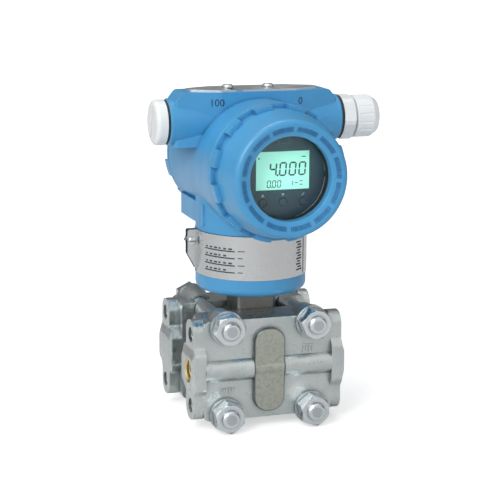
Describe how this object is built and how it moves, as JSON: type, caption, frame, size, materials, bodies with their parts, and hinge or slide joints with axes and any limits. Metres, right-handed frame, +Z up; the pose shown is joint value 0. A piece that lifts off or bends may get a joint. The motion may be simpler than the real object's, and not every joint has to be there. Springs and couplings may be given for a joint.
{
  "type": "differential pressure transmitter",
  "caption": "Differential pressure transmitter: a two-compartment display head that turns on the neck of a flanged pressure capsule.",
  "frame": {"origin": "level with the two process ports, midway between the two flanges, on the axis of the neck", "axes": "+Z up the neck; -Y towards the display; -X towards the open port of the front flange and the conduit plug"},
  "size_m": [0.134, 0.1283, 0.1924],
  "materials": {
    "blue_paint": "satin enamel over die-cast aluminium",
    "cast_steel": "satin cast stainless steel",
    "zinc_steel": "bright zinc plate",
    "capsule_steel": "dull machined stainless steel",
    "diaphragm_steel": "thin bright stainless foil",
    "label_steel": "thin polished stainless strip",
    "plate_metal": "thin satin plate",
    "white_plastic": "smooth white nylon",
    "black_rubber": "matt black nitrile",
    "grey_fibre": "grey seal compound",
    "window_glass": "toughened clear glass",
    "bezel_plastic": "dark slate moulding",
    "lcd_cell": "lit mint green cell",
    "circuit_board": "green solder mask",
    "potting": "dark potting compound",
    "terminal_plastic": "dark moulded terminal block",
    "brass": "nickel-free brass"
  },
  "bodies": {
    "process_head": {"front_flange": "cast_steel", "rear_flange": "cast_steel", "flange_bolts": "zinc_steel", "flange_nuts": "zinc_steel", "flange_washers": "zinc_steel", "sensor_capsule": "capsule_steel", "front_diaphragm": "diaphragm_steel", "rear_diaphragm": "diaphragm_steel", "front_flange_seal": "grey_fibre", "rear_flange_seal": "grey_fibre", "sensor_collar": "blue_paint", "sensor_board": "circuit_board", "label_band": "label_steel", "band_screw": "zinc_steel"},
    "electronics_head": {"housing": "blue_paint", "earth_screw": "brass", "electronics_module": "potting", "display_board": "circuit_board", "display_bezel": "bezel_plastic", "lcd_panel": "lcd_cell", "terminal_block": "terminal_plastic", "terminal_screws": "brass", "plate_screws": "zinc_steel", "gland_gasket": "black_rubber", "gland_body": "white_plastic"},
    "front_seal": {"front_o_ring": "black_rubber"},
    "window_cover": {"front_cover": "blue_paint", "window_gaskets": "grey_fibre", "window_glass": "window_glass", "window_ring": "plate_metal"},
    "rear_seal": {"rear_o_ring": "black_rubber"},
    "terminal_cover": {"rear_cover": "blue_paint"},
    "plug_seal": {"plug_gasket": "black_rubber"},
    "plug": {"conduit_plug": "white_plastic"},
    "cable_seal": {"gland_seal": "black_rubber"},
    "cable_nut": {"gland_nut": "white_plastic"},
    "plate": {"top_plate": "plate_metal"},
    "zero": {"zero_button": "zinc_steel"},
    "span": {"span_button": "zinc_steel"},
    "key_left": {"left_key": "bezel_plastic"},
    "key_middle": {"middle_key": "bezel_plastic"},
    "key_right": {"right_key": "bezel_plastic"}
  },
  "joints": [
    {"name": "head_swivel", "type": "hinge", "parent": "process_head", "child": "electronics_head", "pos_m": [0, 0, 0.06], "axis": [0, 0, 1], "range_deg": [-180, 180]},
    {"name": "front_cover_turn", "type": "hinge", "parent": "electronics_head", "child": "front_seal", "pos_m": [0, 0, 0.1134], "axis": [0, -1, 0], "range_deg": [0, 2160]},
    {"name": "front_cover_travel", "type": "slide", "parent": "front_seal", "child": "window_cover", "axis": [0, -1, 0], "range_m": [0, 0.0122]},
    {"name": "rear_cover_turn", "type": "hinge", "parent": "electronics_head", "child": "rear_seal", "pos_m": [0, 0, 0.1134], "axis": [0, 1, 0], "range_deg": [0, 2160]},
    {"name": "rear_cover_travel", "type": "slide", "parent": "rear_seal", "child": "terminal_cover", "axis": [0, 1, 0], "range_m": [0, 0.0122]},
    {"name": "conduit_plug_travel", "type": "slide", "parent": "electronics_head", "child": "plug_seal", "axis": [-1, 0, 0], "range_m": [0, 0.011]},
    {"name": "conduit_plug_turn", "type": "hinge", "parent": "plug_seal", "child": "plug", "pos_m": [0, 0, 0.1372], "axis": [-1, 0, 0], "range_deg": [0, 1982]},
    {"name": "gland_nut_travel", "type": "slide", "parent": "electronics_head", "child": "cable_seal", "axis": [1, 0, 0], "range_m": [0, 0.009]},
    {"name": "gland_nut_turn", "type": "hinge", "parent": "cable_seal", "child": "cable_nut", "pos_m": [0, 0, 0.1372], "axis": [1, 0, 0], "range_deg": [0, 2162]},
    {"name": "plate_swing", "type": "hinge", "parent": "electronics_head", "child": "plate", "pos_m": [0.0095, 0, 0.155], "axis": [0, 0, -1], "range_deg": [0, 90]},
    {"name": "zero_press", "type": "slide", "parent": "electronics_head", "child": "zero", "axis": [0, 0, -1], "range_m": [0, 0.0012], "stiffness_N_per_m": 250, "springref_m": -0.0003},
    {"name": "span_press", "type": "slide", "parent": "electronics_head", "child": "span", "axis": [0, 0, -1], "range_m": [0, 0.0012], "stiffness_N_per_m": 250, "springref_m": -0.0003},
    {"name": "left_key_press", "type": "slide", "parent": "electronics_head", "child": "key_left", "axis": [0, 1, 0], "range_m": [0, 0.0008], "stiffness_N_per_m": 250, "springref_m": -0.0002},
    {"name": "middle_key_press", "type": "slide", "parent": "electronics_head", "child": "key_middle", "axis": [0, 1, 0], "range_m": [0, 0.0008], "stiffness_N_per_m": 250, "springref_m": -0.0002},
    {"name": "right_key_press", "type": "slide", "parent": "electronics_head", "child": "key_right", "axis": [0, 1, 0], "range_m": [0, 0.0008], "stiffness_N_per_m": 250, "springref_m": -0.0002}
  ],
  "couplings": [
    {"joint": "front_cover_travel", "follows": "front_cover_turn", "m_per_rad": 0.00031831},
    {"joint": "rear_cover_travel", "follows": "rear_cover_turn", "m_per_rad": 0.00031831},
    {"joint": "conduit_plug_turn", "follows": "conduit_plug_travel", "rad_per_m": 3141.6},
    {"joint": "gland_nut_turn", "follows": "gland_nut_travel", "rad_per_m": 4188.8}
  ]
}
